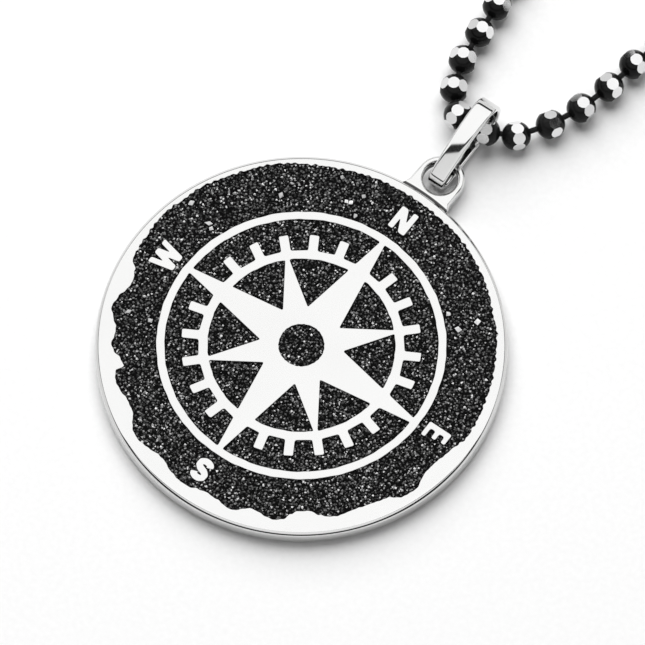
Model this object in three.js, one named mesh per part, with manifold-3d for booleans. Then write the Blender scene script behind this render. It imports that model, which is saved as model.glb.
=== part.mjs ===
// Compass pendant lying face up, on a bead chain that goes through its bail.
//
// Units are millimetres, +Z is up. The origin is the middle of the disc's flat back, +Y points from
// there to the eye, the bail and the chain, and the plane Z = 0 is the surface that it all lies on.
// Bearings are in degrees, clockwise from +Y seen from above, as on a compass.

import * as THREE from "three";
import { mergeVertices } from "three/addons/utils/BufferGeometryUtils.js";
import Module from "manifold-3d";

const wasm = await Module();
wasm.setup();

// The dial, from its middle outwards

const hubInlayRadius = 1.68;
const notchRadius = 3.1;
const notchBearing = 27.5;
const tickRingRadius = 6.9;
const tickRingWidth = 0.7;
const tickLength = 1.25;
const tickWidth = 0.66;
const ticksInQuarter = 5;
const tickToRoseRing = 1.22;
const roseRingWidth = 0.61;
const sandFieldWidth = 3.97;
const coastDepth = 1.5;
const rimWidth = 0.55;
const longPointOverrun = 1.35;
const shortPointOverrun = 0.8;
const faceTurn = -1;

// The four letters

const letterGap = 0.64;
const letterHeight = 1.95;
const letterStroke = 0.46;
const northWidth = 1.5;
const northDiagonal = 0.55;
const eastWidth = 1.25;
const eastArm = 0.37;
const southWidth = 1.42;
const southStroke = 0.5;
const westWidth = 2.19;

// The disc and its recesses

const discThickness = 1.4;
const topEdgeRound = 0.1;
const backEdgeRound = 0.28;
const recessDepth = 0.45;
const inlayDrop = 0.04;
const inlayGap = 0.05;

// The eye, a flat lug with a round hole

const eyeReach = 1.67;
const eyeHoleRadius = 1.28;
const eyeWall = 0.55;
const eyeRootFlare = 0.2;
const eyeDrop = 0.1;

// The bail, a strap bent into a closed loop

const bailLength = 7.5;
const bailWidth = 1.6;
const bailEyeWidth = 1.35;
const bailStrap = 0.38;
const bailLeafRadius = 12;
const bailTurn = 2.25;
const bailSlip = 0.1;

// Clearances round the bail

const bailFloorGap = 0.03;
const bailUnderEyeGap = 0.06;
const bailOverEyeGap = 0.18;
const bailCornerGap = 0.45;
const bailBeadGap = 0.155;
const seatGap = 0.05;
const seatSlack = 0.55;

// The chain

const beadRadius = 1.1;
const beadBelt = 1.04;
const linkGap = 0.4;
const linkRadius = 0.22;
const endRingRadius = 1.3;
const endRingWire = 0.3;
const loopReach = 175;
const loopWidth = 108;

// The clasp, a plain barrel with an eye at each end

const barrelLength = 9;
const barrelRadius = 1.7;
const barrelEdge = 0.5;
const claspEyeRadius = 0.95;
const claspEyeWire = 0.3;
const claspEyeNeck = 0.2;

// How finely round things are cut

const discSides = 80;
const ringSides = 60;
const beadSides = 10;
const wireSides = 5;
const bailArcSteps = 8;
const bailLeafSteps = 6;

// Worked out from the sizes above

const tickRingOuter = tickRingRadius + tickRingWidth;
const tickTip = tickRingOuter + tickLength;
const roseRingRadius = tickTip + tickToRoseRing;
const roseRingOuter = roseRingRadius + roseRingWidth;
const coastRadius = roseRingOuter + sandFieldWidth;
const discRadius = coastRadius + rimWidth;
const letterCentre = roseRingOuter + letterGap + letterHeight / 2;
const recessFloor = discThickness - recessDepth;
const eyeCentre = discRadius + eyeReach;
const eyeTop = discThickness - eyeDrop;
const eyeBottom = bailFloorGap + bailStrap + bailUnderEyeGap;
const bailHalfAtEye = bailEyeWidth / 2 + bailSlip;
const bailStart = eyeCentre + bailCornerGap - Math.sqrt(eyeHoleRadius ** 2 - bailHalfAtEye ** 2);
const bailEyeEndRadius = (eyeTop + bailOverEyeGap + bailStrap - bailFloorGap) / 2;
const bailChainEndRadius = beadRadius + bailBeadGap + bailStrap;
const seatAlong = bailStart + bailLength - bailStrap - beadRadius - seatSlack;
const seatLift = bailFloorGap + bailStrap + seatGap;

// The sand's outer coast: bearing on the dial, then how far in it comes as a share of coastDepth

const coast = [
  { bearing: 2, share: 0.2 },
  { bearing: 22, share: 0.13 },
  { bearing: 37, share: 0.17 },
  { bearing: 43, share: 0.23 },
  { bearing: 50, share: 0.17 },
  { bearing: 60, share: 0.23 },
  { bearing: 72, share: 0.27 },
  { bearing: 85, share: 0.3 },
  { bearing: 88, share: 0.43 },
  { bearing: 91, share: 0.6 },
  { bearing: 97, share: 0.73 },
  { bearing: 102, share: 0.7 },
  { bearing: 104, share: 0.53 },
  { bearing: 107, share: 0.3 },
  { bearing: 112, share: 0.33 },
  { bearing: 114, share: 0.47 },
  { bearing: 116, share: 0.65 },
  { bearing: 122, share: 0.7 },
  { bearing: 127, share: 0.7 },
  { bearing: 133, share: 0.53 },
  { bearing: 136, share: 0.6 },
  { bearing: 138, share: 0.73 },
  { bearing: 141, share: 0.97 },
  { bearing: 145, share: 0.97 },
  { bearing: 147, share: 0.8 },
  { bearing: 149, share: 0.5 },
  { bearing: 152, share: 0.4 },
  { bearing: 155, share: 0.55 },
  { bearing: 157, share: 0.7 },
  { bearing: 160, share: 0.77 },
  { bearing: 162, share: 0.63 },
  { bearing: 164, share: 0.43 },
  { bearing: 166, share: 0.4 },
  { bearing: 171, share: 0.63 },
  { bearing: 174, share: 0.7 },
  { bearing: 177, share: 0.63 },
  { bearing: 180, share: 0.45 },
  { bearing: 184, share: 0.43 },
  { bearing: 188, share: 0.55 },
  { bearing: 191, share: 0.7 },
  { bearing: 194, share: 0.68 },
  { bearing: 197, share: 0.52 },
  { bearing: 202, share: 0.33 },
  { bearing: 205, share: 0.37 },
  { bearing: 207, share: 0.53 },
  { bearing: 210, share: 0.77 },
  { bearing: 215, share: 0.77 },
  { bearing: 219, share: 0.57 },
  { bearing: 222, share: 0.47 },
  { bearing: 225.3, share: 0.57 },
  { bearing: 226.3, share: 1 },
  { bearing: 229, share: 0.87 },
  { bearing: 232, share: 0.57 },
  { bearing: 234, share: 0.45 },
  { bearing: 237, share: 0.6 },
  { bearing: 240, share: 0.63 },
  { bearing: 242, share: 0.47 },
  { bearing: 246, share: 0.23 },
  { bearing: 250, share: 0.43 },
  { bearing: 252, share: 0.65 },
  { bearing: 254, share: 0.78 },
  { bearing: 257, share: 0.8 },
  { bearing: 260, share: 0.65 },
  { bearing: 263, share: 0.27 },
  { bearing: 272, share: 0.2 },
  { bearing: 274, share: 0.1 },
  { bearing: 282, share: 0.03 },
  { bearing: 286, share: 0.1 },
  { bearing: 292, share: 0 },
  { bearing: 302, share: 0.07 },
  { bearing: 317, share: 0.03 },
  { bearing: 332, share: 0.17 },
  { bearing: 347, share: 0.17 },
];

// The chain's way by the bail: places of the seen beads, in millimetres from the bail's seat
// lift 1 is a bead that lies on the bail's back strap, lift 0 one that lies on the surface

const chainRoute = {
  seat: [-0.73, -0.08],
  left: [
    { across: -1.95, along: -0.16, lift: 1 },
    { across: -3.56, along: 1.48, lift: 0 },
    { across: -4.46, along: 3.72, lift: 0 },
    { across: -4.82, along: 6.19, lift: 0 },
    { across: -5.09, along: 8.69, lift: 0 },
  ],
  right: [
    { across: 0.48, along: 0, lift: 1 },
    { across: 2.32, along: 1.21, lift: 0 },
    { across: 3.79, along: 3.46, lift: 0 },
    { across: 4.8, along: 5.88, lift: 0 },
    { across: 5.42, along: 8.47, lift: 0 },
    { across: 5.78, along: 11.04, lift: 0 },
  ],
};

// The rest of the loop: shares of half loopWidth and of loopReach

const loopShape = [
  { across: 0.17, along: 0.15 },
  { across: 0.31, along: 0.27 },
  { across: 0.56, along: 0.42 },
  { across: 0.83, along: 0.58 },
  { across: 0.99, along: 0.74 },
  { across: 0.92, along: 0.89 },
  { across: 0.6, along: 0.98 },
];

// How open the links next to the bail are, as shares of linkGap, counted from the bail outwards

const slackLinks = {
  left: [0.4, 0.6, 0.8, 0.8],
  right: [0.2, 1.25, 1.1, 1.15],
};

// Finishes

const finishes = {
  silver: { color: 0xd9d9d8, roughness: 0.22, metalness: 1 },
  sand: { color: 0x1b1b1c, roughness: 0.85, metalness: 0 },
  blackened: { color: 0x161617, roughness: 0.25, metalness: 0.6 },
};

// Plain plane geometry

const radians = THREE.MathUtils.degToRad;

function polar(radius, bearing) {
  const angle = radians(bearing);
  return new THREE.Vector2(radius * Math.sin(angle), radius * Math.cos(angle));
}

function arc(radius, from, to, steps) {
  const points = [];
  for (let i = 0; i <= steps; i += 1) {
    points.push(polar(radius, from + ((to - from) * i) / steps));
  }
  return points;
}

function circle(radius, sides) {
  return arc(radius, 0, 360, sides).slice(0, sides);
}

// Turns points about the middle, clockwise in degrees
function turned(points, bearing) {
  return points.map((p) => p.clone().rotateAround(new THREE.Vector2(), -radians(bearing)));
}

// Where the straight line from a to b crosses the circle of this radius about the middle
function crossing(a, b, radius) {
  const step = b.clone().sub(a);
  const squared = step.lengthSq();
  const half = a.dot(step) / squared;
  const rest = (a.lengthSq() - radius ** 2) / squared;
  return a.clone().addScaledVector(step, -half + Math.sqrt(half ** 2 - rest));
}

function bearingOf(point) {
  return THREE.MathUtils.radToDeg(Math.atan2(point.x, point.y));
}

// Moves each side of a clockwise or anticlockwise outline inwards by a distance, with sharp corners
function inset(points, distance) {
  const way = THREE.ShapeUtils.isClockWise(points) ? -1 : 1;
  return points.map((point, i) => {
    const before = points[(i + points.length - 1) % points.length];
    const after = points[(i + 1) % points.length];
    const into = point.clone().sub(before).normalize();
    const out = after.clone().sub(point).normalize();
    const normalIn = new THREE.Vector2(-into.y, into.x);
    const normalOut = new THREE.Vector2(-out.y, out.x);
    const middle = normalIn.add(normalOut);
    const reach = (2 * distance * way) / middle.lengthSq();
    return point.clone().addScaledVector(middle, reach);
  });
}

// Solids

function prism(outline, low, high, holes = []) {
  const anticlockwise = THREE.ShapeUtils.isClockWise(outline) ? [...outline].reverse() : outline;
  const shape = new THREE.Shape(anticlockwise);
  shape.holes = holes.map((points) => new THREE.Path(points));
  const geometry = new THREE.ExtrudeGeometry(shape, { depth: high - low, bevelEnabled: false });
  return geometry.translate(0, 0, low);
}

function solid(geometry) {
  const plain = geometry.clone();
  plain.deleteAttribute("normal");
  plain.deleteAttribute("uv");
  const merged = mergeVertices(plain);
  const corners = merged.index.array;
  const triangles = [];
  for (let i = 0; i < corners.length; i += 3) {
    const [a, b, c] = corners.slice(i, i + 3);
    if (a !== b && b !== c && c !== a) {
      triangles.push(a, b, c);
    }
  }
  return new wasm.Manifold(
    new wasm.Mesh({
      numProp: 3,
      vertProperties: new Float32Array(merged.attributes.position.array),
      triVerts: new Uint32Array(triangles),
    }),
  );
}

function geometryOf(manifold) {
  const mesh = manifold.getMesh();
  const geometry = new THREE.BufferGeometry();
  geometry.setAttribute("position", new THREE.BufferAttribute(mesh.vertProperties, 3));
  geometry.setIndex(new THREE.BufferAttribute(mesh.triVerts, 1));
  geometry.computeVertexNormals();
  return geometry;
}

function join(geometries) {
  return geometries.map(solid).reduce((whole, piece) => whole.add(piece));
}

function named(name, geometry, finish) {
  const mesh = new THREE.Mesh(geometry, new THREE.MeshStandardMaterial(finishes[finish]));
  mesh.name = name;
  return mesh;
}

// The rose: straight sides run from each notch to the tip of a long and of a short point

const notch = polar(notchRadius, notchBearing);
const longTip = polar(roseRingRadius + longPointOverrun, 0);
const shortTip = polar(tickRingRadius + shortPointOverrun, 45);

// One of the eight openings inside the tick ring, right of a long point
function innerSector() {
  const longEnd = crossing(notch, longTip, tickRingRadius);
  const shortEnd = crossing(notch, shortTip, tickRingRadius);
  return [notch, ...arc(tickRingRadius, bearingOf(longEnd), bearingOf(shortEnd), 5)];
}

// The same opening on the other side of the point, as seen in a mirror
function mirrored(points) {
  return points.map((p) => new THREE.Vector2(-p.x, p.y)).reverse();
}

// One of the four openings between the rings, with the ticks standing into it
function outerSector() {
  const start = bearingOf(crossing(notch, longTip, tickRingOuter));
  const end = bearingOf(crossing(notch, longTip, roseRingRadius));
  const halfTick = tickWidth / 2;
  const rootSwing = THREE.MathUtils.radToDeg(Math.asin(halfTick / tickRingOuter));
  const points = [polar(tickRingOuter, start)];
  for (let i = 1; i <= ticksInQuarter; i += 1) {
    const bearing = (90 * i) / (ticksInQuarter + 1);
    const tip = Math.sqrt(tickTip ** 2 - halfTick ** 2);
    const corners = [
      polar(tickRingOuter, -rootSwing),
      new THREE.Vector2(-halfTick, tip),
      new THREE.Vector2(halfTick, tip),
      polar(tickRingOuter, rootSwing),
    ];
    points.push(...turned(corners, bearing));
  }
  points.push(polar(tickRingOuter, 90 - start));
  points.push(...arc(roseRingRadius, 90 - end, end, 12));
  return points;
}

// The outer coast of the sand, straight from row to row and round where rows are far apart
function coastOutline() {
  const longestStep = 6;
  const points = [];
  coast.forEach((row, i) => {
    const next = coast[(i + 1) % coast.length];
    const span = (next.bearing - row.bearing + 360) % 360;
    const steps = Math.ceil(span / longestStep);
    for (let step = 0; step < steps; step += 1) {
      const along = step / steps;
      const share = row.share + (next.share - row.share) * along;
      points.push(polar(coastRadius - share * coastDepth, row.bearing + span * along));
    }
  });
  return points;
}

// Letters: each is a few strokes about its own middle, grown all round for the sand's clearance

// A stroke with level ends, from one middle point to another
function slab(fromX, fromY, toX, toY, width, grow) {
  const rise = Math.sign(toY - fromY) * grow;
  const half = width / 2 + grow;
  return [
    new THREE.Vector2(fromX - half, fromY - rise),
    new THREE.Vector2(fromX + half, fromY - rise),
    new THREE.Vector2(toX + half, toY + rise),
    new THREE.Vector2(toX - half, toY + rise),
  ];
}

function northStrokes(grow) {
  const x = (northWidth - letterStroke) / 2;
  const y = letterHeight / 2;
  const lean = (northWidth - northDiagonal) / 2;
  return [
    slab(-x, -y, -x, y, letterStroke, grow),
    slab(lean, -y, -lean, y, northDiagonal, grow),
    slab(x, -y, x, y, letterStroke, grow),
  ];
}

function eastStrokes(grow) {
  const y = letterHeight / 2;
  const left = -eastWidth / 2;
  const arms = [
    { level: y - eastArm, length: 0.78 },
    { level: -eastArm / 2, length: 0.85 },
    { level: -y, length: 1 },
  ];
  const strokes = arms.map((arm) => {
    const length = arm.length * eastWidth;
    return slab(left + length / 2, arm.level, left + length / 2, arm.level + eastArm, length, grow);
  });
  const stem = left + letterStroke / 2;
  return [slab(stem, -y, stem, y, letterStroke, grow), ...strokes];
}

function westStrokes(grow) {
  const y = letterHeight / 2;
  const outer = (westWidth - letterStroke) / 2;
  const foot = outer / 2;
  return [
    slab(-outer, y, -foot, -y, letterStroke, grow),
    slab(-foot, -y, 0, y, letterStroke, grow),
    slab(0, y, foot, -y, letterStroke, grow),
    slab(foot, -y, outer, y, letterStroke, grow),
  ];
}

// The S is one stroke along two bends, its places as shares of its half width and half height
function southStrokes(grow) {
  const bends = [
    { across: 1, along: 0.52 },
    { across: 0.62, along: 0.95 },
    { across: -0.55, along: 0.98 },
    { across: -1, along: 0.55 },
    { across: -0.6, along: 0.1 },
    { across: 0.6, along: -0.1 },
    { across: 1, along: -0.55 },
    { across: 0.55, along: -0.98 },
    { across: -0.62, along: -0.95 },
    { across: -1, along: -0.52 },
  ];
  const halfWidth = (southWidth - southStroke) / 2;
  const halfHeight = (letterHeight - southStroke) / 2;
  const line = bends.map((b) => new THREE.Vector2(b.across * halfWidth, b.along * halfHeight));
  const half = southStroke / 2 + grow;
  const sides = [-half, half].map((reach) =>
    line.map((point, i) => {
      const before = line[Math.max(i - 1, 0)];
      const after = line[Math.min(i + 1, line.length - 1)];
      const way = after.clone().sub(before).normalize();
      const end = i === 0 ? -grow : i === line.length - 1 ? grow : 0;
      const moved = point.clone().addScaledVector(way, end);
      return moved.addScaledVector(new THREE.Vector2(-way.y, way.x), reach);
    }),
  );
  return [[...sides[0], ...sides[1].reverse()]];
}

const letters = [
  { strokes: northStrokes, bearing: 0 },
  { strokes: eastStrokes, bearing: 90 },
  { strokes: southStrokes, bearing: 180 },
  { strokes: westStrokes, bearing: 270 },
];

// A letter stands upright at the edge of the dial, with its top outwards
function letterSolid({ strokes, bearing }, grow, low, high) {
  const outlines = strokes(grow).map((outline) => {
    const raised = outline.map((p) => new THREE.Vector2(p.x, p.y + letterCentre));
    return prism(turned(raised, bearing), low, high);
  });
  return join(outlines);
}

// The field of sand outside the rose ring, with the letters standing in it
function sandField(gap, low, high) {
  const outside = inset(coastOutline(), gap);
  const ring = circle(roseRingOuter + gap, ringSides);
  const field = solid(prism(outside, low, high, [ring]));
  const above = high + recessDepth;
  const below = low - recessDepth;
  return letters.reduce((rest, letter) => rest.subtract(letterSolid(letter, gap, below, above)), field);
}

// All the small openings of the rose, by name
const rosePockets = [
  { name: "sand_hub", outline: circle(hubInlayRadius, 20) },
  ...[0, 1, 2, 3].flatMap((quarter) => [
    { name: `sand_rose_${2 * quarter + 1}`, outline: turned(innerSector(), 90 * quarter) },
    { name: `sand_rose_${2 * quarter + 2}`, outline: turned(mirrored(innerSector()), 90 * quarter) },
    { name: `sand_band_${quarter + 1}`, outline: turned(outerSector(), 90 * quarter) },
  ]),
];

// The disc: a blank with softened edges, less the recesses, with the eye soldered to its edge

function blank() {
  const back = backEdgeRound * (1 - Math.SQRT1_2);
  const profile = [
    new THREE.Vector2(0, 0),
    new THREE.Vector2(discRadius - backEdgeRound, 0),
    new THREE.Vector2(discRadius - back, back),
    new THREE.Vector2(discRadius, backEdgeRound),
    new THREE.Vector2(discRadius, discThickness - topEdgeRound),
    new THREE.Vector2(discRadius - topEdgeRound, discThickness),
    new THREE.Vector2(0, discThickness),
  ];
  return new THREE.LatheGeometry(profile, discSides).rotateX(Math.PI / 2);
}

function eye() {
  const outer = eyeHoleRadius + eyeWall;
  const root = Math.sqrt(discRadius ** 2 - outer ** 2) - topEdgeRound - eyeRootFlare;
  const round = arc(outer, -90, 90, 12).map((p) => p.add(new THREE.Vector2(0, eyeCentre)));
  const outline = [
    new THREE.Vector2(-outer - eyeRootFlare, root),
    ...round,
    new THREE.Vector2(outer + eyeRootFlare, root),
  ];
  const hole = circle(eyeHoleRadius, 20).map((p) => p.add(new THREE.Vector2(0, eyeCentre)));
  return prism(outline, eyeBottom, eyeTop, [hole]);
}

function pendantDisc() {
  const above = discThickness + recessDepth;
  const pockets = rosePockets.map(({ outline }) => {
    return solid(prism(turned(outline, faceTurn), recessFloor, above));
  });
  const field = sandField(0, recessFloor, above).rotate([0, 0, -faceTurn]);
  const cut = [...pockets, field].reduce((disc, pocket) => disc.subtract(pocket), solid(blank()));
  return named("pendant_disc", geometryOf(cut.add(solid(eye()))), "silver");
}

function sandInlays() {
  const low = recessFloor + inlayGap;
  const high = discThickness - inlayDrop;
  const face = new THREE.Group();
  face.rotation.z = -radians(faceTurn);
  face.add(named("sand_field", geometryOf(sandField(inlayGap, low, high)), "sand"));
  for (const { name, outline } of rosePockets) {
    face.add(named(name, prism(inset(outline, inlayGap), low, high), "sand"));
  }
  return face;
}

// The bail: its side view is the strap round two ends, a small one in the eye and a large one at
// the chain. The back leaf between them is straight and the front leaf is arched. Its width tapers
// towards the eye.

function arcRound(middle, radius, start, end, steps) {
  const points = [];
  for (let i = 0; i <= steps; i += 1) {
    const angle = start + ((end - start) * i) / steps;
    points.push(new THREE.Vector2(Math.cos(angle), Math.sin(angle)).multiplyScalar(radius).add(middle));
  }
  return points;
}

function bailSide(inwards) {
  const small = bailEyeEndRadius - inwards;
  const large = bailChainEndRadius - inwards;
  const leaf = bailLeafRadius - inwards;
  const smallAt = new THREE.Vector2(bailEyeEndRadius, bailFloorGap + bailEyeEndRadius);
  const largeAt = new THREE.Vector2(bailLength - bailChainEndRadius, bailFloorGap + bailChainEndRadius);
  // The front leaf touches both ends from outside, so its centre is on two circles round theirs
  const apart = largeAt.clone().sub(smallAt);
  const near = leaf - small;
  const far = leaf - large;
  const along = (apart.lengthSq() + near ** 2 - far ** 2) / (2 * apart.length());
  const below = Math.sqrt(near ** 2 - along ** 2);
  const way = apart.clone().normalize();
  const downwards = new THREE.Vector2(way.y, -way.x);
  const leafAt = smallAt.clone().addScaledVector(way, along).addScaledVector(downwards, below);
  const atSmall = smallAt.clone().sub(leafAt).angle();
  const atLarge = largeAt.clone().sub(leafAt).angle();
  const bottom = 1.5 * Math.PI;
  return [
    ...arcRound(smallAt, small, atSmall, bottom, bailArcSteps),
    ...arcRound(largeAt, large, bottom, atLarge + 2 * Math.PI, bailArcSteps),
    ...arcRound(leafAt, leaf, atLarge, atSmall, bailLeafSteps).slice(1, -1),
  ];
}

function bail() {
  // One millimetre wide at first: the loop below widens it to the real width at each place
  const geometry = prism(bailSide(0), -0.5, 0.5, [bailSide(bailStrap)]);
  // The side view lies in X and Y: stand it up so that X becomes +Y and Y becomes +Z
  geometry.rotateX(Math.PI / 2).rotateZ(Math.PI / 2);
  const place = geometry.attributes.position;
  for (let i = 0; i < place.count; i += 1) {
    const along = place.getY(i) / bailLength;
    place.setX(i, place.getX(i) * (bailEyeWidth + (bailWidth - bailEyeWidth) * along));
  }
  const strap = named("bail", geometry, "silver");
  strap.position.set(-bailSlip, bailStart, 0);
  strap.rotation.z = radians(bailTurn);
  return strap;
}

// The clasp lies across the far end of the loop, and the chain's end rings hang in its eyes

const claspAlong = seatAlong + loopReach;
const claspLift = barrelRadius;
const claspEyeAt = barrelLength / 2 + claspEyeNeck + claspEyeRadius;
const endRingLift = endRingRadius + endRingWire;
const endRingAt = claspEyeAt + Math.sqrt(endRingRadius ** 2 - (claspLift - endRingLift) ** 2);
const chainEndAt = endRingAt + Math.sqrt(endRingRadius ** 2 - (endRingLift - beadRadius) ** 2);

function clasp() {
  const half = barrelLength / 2;
  const profile = [
    new THREE.Vector2(0, -half),
    new THREE.Vector2(barrelRadius - barrelEdge, -half),
    new THREE.Vector2(barrelRadius, -half + barrelEdge),
    new THREE.Vector2(barrelRadius, half - barrelEdge),
    new THREE.Vector2(barrelRadius - barrelEdge, half),
    new THREE.Vector2(0, half),
  ];
  const barrel = new THREE.LatheGeometry(profile, 12).rotateZ(-Math.PI / 2);
  const eyes = [-1, 1].map((side) => {
    const ring = new THREE.TorusGeometry(claspEyeRadius, claspEyeWire, wireSides, beadSides);
    return ring.translate(side * claspEyeAt, 0, 0);
  });
  const necks = [-1, 1].map((side) => {
    const length = claspEyeNeck + claspEyeWire + barrelEdge;
    const neck = new THREE.CylinderGeometry(claspEyeWire, claspEyeWire, length, 6).rotateZ(Math.PI / 2);
    return neck.translate(side * (half - barrelEdge + length / 2), 0, 0);
  });
  const piece = named("clasp", geometryOf(join([barrel, ...eyes, ...necks])), "silver");
  piece.position.set(0, claspAlong, claspLift);
  return piece;
}

// The chain: one strand goes round each side of the loop, from the bail's seat to the clasp

function strandCurve(side) {
  const sign = side === "left" ? -1 : 1;
  const points = [
    chainRoute.seat,
    ...chainRoute[side].map((p) => [p.across, p.along]),
    ...loopShape.map((p) => [(sign * p.across * loopWidth) / 2, p.along * loopReach]),
    [sign * chainEndAt, loopReach],
  ].map(([x, y]) => new THREE.Vector3(x, y + seatAlong, beadRadius));
  const curve = new THREE.CatmullRomCurve3(points);
  curve.arcLengthDivisions = 1200;
  return curve;
}

// Each bead's place and heading, from the bail outwards, with the links drawn out evenly to fit
function strandBeads(side) {
  const curve = strandCurve(side);
  const length = curve.getLength();
  const gaps = slackLinks[side];
  const first = curve.points[0].distanceTo(curve.points[1]);
  const seen = gaps.reduce((sum, gap) => sum + 2 * beadRadius + gap * linkGap, first);
  const lastLink = beadRadius + linkGap;
  const links = Math.round((length - seen - lastLink) / (2 * beadRadius + linkGap));
  const pitch = (length - seen - lastLink) / links;
  const beads = [];
  let station = first;
  for (let i = 0; i <= gaps.length + links; i += 1) {
    const centre = curve.getPointAt(station / length);
    const heading = curve.getTangentAt(station / length);
    const lift = chainRoute[side][i]?.lift ?? 0;
    centre.z += lift * seatLift;
    beads.push({ centre, heading });
    station += i < gaps.length ? 2 * beadRadius + gaps[i] * linkGap : pitch;
  }
  return beads;
}

// A round of points about a bead's axis
function roundAbout({ centre, heading }, offset, radius, sides) {
  const up = new THREE.Vector3(0, 0, 1);
  const across = heading.clone().cross(up).normalize();
  const points = [];
  for (let i = 0; i < sides; i += 1) {
    const angle = (2 * Math.PI * i) / sides;
    const point = centre.clone().addScaledVector(heading, offset);
    point.addScaledVector(up, radius * Math.cos(angle));
    points.push(point.addScaledVector(across, radius * Math.sin(angle)));
  }
  return points;
}

// Skins two rounds of points that follow each other, where one may have twice as many as the other
function skinBetween(a, b, triangles) {
  const steps = Math.max(a.length, b.length);
  const at = (ring, i) => ring.start + Math.floor((i * ring.length) / steps) % ring.length;
  for (let i = 0; i < steps; i += 1) {
    const [a0, a1, b0, b1] = [at(a, i), at(a, i + 1), at(b, i), at(b, i + 1)];
    if (a0 !== a1) {
      triangles.push(a0, a1, b1);
    }
    if (b0 !== b1) {
      triangles.push(a0, b1, b0);
    }
  }
}

// The whole string of beads and links as one closed skin, flat at both ends
function beadString(beads, start, end) {
  const wireReach = Math.sqrt(beadRadius ** 2 - linkRadius ** 2);
  const stops = [{ ...start, offset: 0, radius: linkRadius, sides: wireSides }];
  for (const bead of beads) {
    stops.push(
      { ...bead, offset: -wireReach, radius: linkRadius, sides: wireSides },
      { ...bead, offset: -beadBelt / 2, radius: beadRadius, sides: beadSides },
      { ...bead, offset: beadBelt / 2, radius: beadRadius, sides: beadSides },
      { ...bead, offset: wireReach, radius: linkRadius, sides: wireSides },
    );
  }
  stops.push({ ...end, offset: 0, radius: linkRadius, sides: wireSides });
  const points = [];
  const triangles = [];
  const rings = stops.map((stop) => {
    const ring = { start: points.length, length: stop.sides };
    points.push(...roundAbout(stop, stop.offset, stop.radius, stop.sides));
    return ring;
  });
  for (let i = 1; i < rings.length; i += 1) {
    skinBetween(rings[i - 1], rings[i], triangles);
  }
  const last = rings[rings.length - 1].start;
  for (let i = 1; i < wireSides - 1; i += 1) {
    triangles.push(0, i + 1, i, last, last + i, last + i + 1);
  }
  const geometry = new THREE.BufferGeometry().setFromPoints(points);
  return geometry.setIndex(triangles);
}

function chain() {
  const left = strandBeads("left").reverse();
  left.forEach((bead) => bead.heading.negate());
  const right = strandBeads("right");
  // The string starts at the clasp's left end ring and runs towards -X, and so it does at its end
  const heading = new THREE.Vector3(-1, 0, 0);
  const start = { centre: new THREE.Vector3(-chainEndAt, claspAlong, beadRadius), heading };
  const end = { centre: new THREE.Vector3(chainEndAt, claspAlong, beadRadius), heading };
  const rings = [-1, 1].map((side) => {
    const ring = new THREE.TorusGeometry(endRingRadius, endRingWire, wireSides, beadSides);
    return ring.rotateX(Math.PI / 2).translate(side * endRingAt, claspAlong, endRingLift);
  });
  const string = beadString([...left, ...right], start, end);
  return named("bead_chain", geometryOf(join([string, ...rings])), "blackened");
}

const pendant = new THREE.Group();
pendant.add(pendantDisc(), sandInlays(), bail(), chain(), clasp());

export default pendant;
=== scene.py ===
# %% [markdown]
# A compass pendant on a bead chain
#
# This lesson dresses a small piece of jewellery: a cast silver disc with a compass rose standing in
# dark sand, a strap bail, and a chain of faceted black beads. Every place and size comes from a fixed
# frame or is a named value in millimetres. Blender works in metres, so MM turns one into the other.

# %% Load the frame
import math
from contextlib import contextmanager

import bmesh
import bpy
import numpy as np
from mathutils import Matrix, Vector
from mathutils.geometry import delaunay_2d_cdt


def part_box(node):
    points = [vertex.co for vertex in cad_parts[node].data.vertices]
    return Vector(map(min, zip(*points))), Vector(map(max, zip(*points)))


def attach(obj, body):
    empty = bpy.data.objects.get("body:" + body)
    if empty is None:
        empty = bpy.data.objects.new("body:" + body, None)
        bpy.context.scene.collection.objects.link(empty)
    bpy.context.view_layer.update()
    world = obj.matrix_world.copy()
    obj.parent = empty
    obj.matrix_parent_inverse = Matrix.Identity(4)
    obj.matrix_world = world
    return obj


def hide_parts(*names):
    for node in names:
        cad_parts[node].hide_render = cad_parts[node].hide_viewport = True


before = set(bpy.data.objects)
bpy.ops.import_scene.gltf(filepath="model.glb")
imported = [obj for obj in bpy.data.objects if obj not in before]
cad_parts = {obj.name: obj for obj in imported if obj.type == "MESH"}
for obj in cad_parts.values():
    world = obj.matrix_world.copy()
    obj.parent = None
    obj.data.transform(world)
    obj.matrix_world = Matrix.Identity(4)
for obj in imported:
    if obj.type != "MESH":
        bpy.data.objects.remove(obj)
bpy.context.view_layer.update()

MM = 0.001


def box_mm(node):
    """Lowest and highest corner of a solid of the frame, in millimetres."""
    return [np.array(corner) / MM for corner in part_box(node)]


disc_high = box_mm("pendant_disc")[1]
DISC_RADIUS = disc_high[0]
DISC_TOP = disc_high[2]
print("disc radius", round(DISC_RADIUS, 2), "mm, thickness", round(DISC_TOP, 2), "mm")

# %% [markdown]
# The camera comes first, because it decides which details matter. The photo shows the round disc at
# 92 percent of its height, and the arc sine of that share is the camera's angle. A long lens from far
# away keeps the far side of the disc as large as the near side.

# %% Camera
VIEW_AZIMUTH = 37.35
VIEW_ELEVATION = 67.15
VIEW_DISTANCE = 2000
VIEW_WIDTH = 47.45
VIEW_TARGET = (0.14, 2.37, DISC_TOP)
SENSOR_WIDTH = 36


def way_out(azimuth, elevation):
    """A direction away from the pendant. Azimuth 0 is the view's right and -90 the camera's side."""
    a, e = math.radians(azimuth + VIEW_AZIMUTH), math.radians(elevation)
    return Vector((math.cos(e) * math.cos(a), math.cos(e) * math.sin(a), math.sin(e)))


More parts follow.
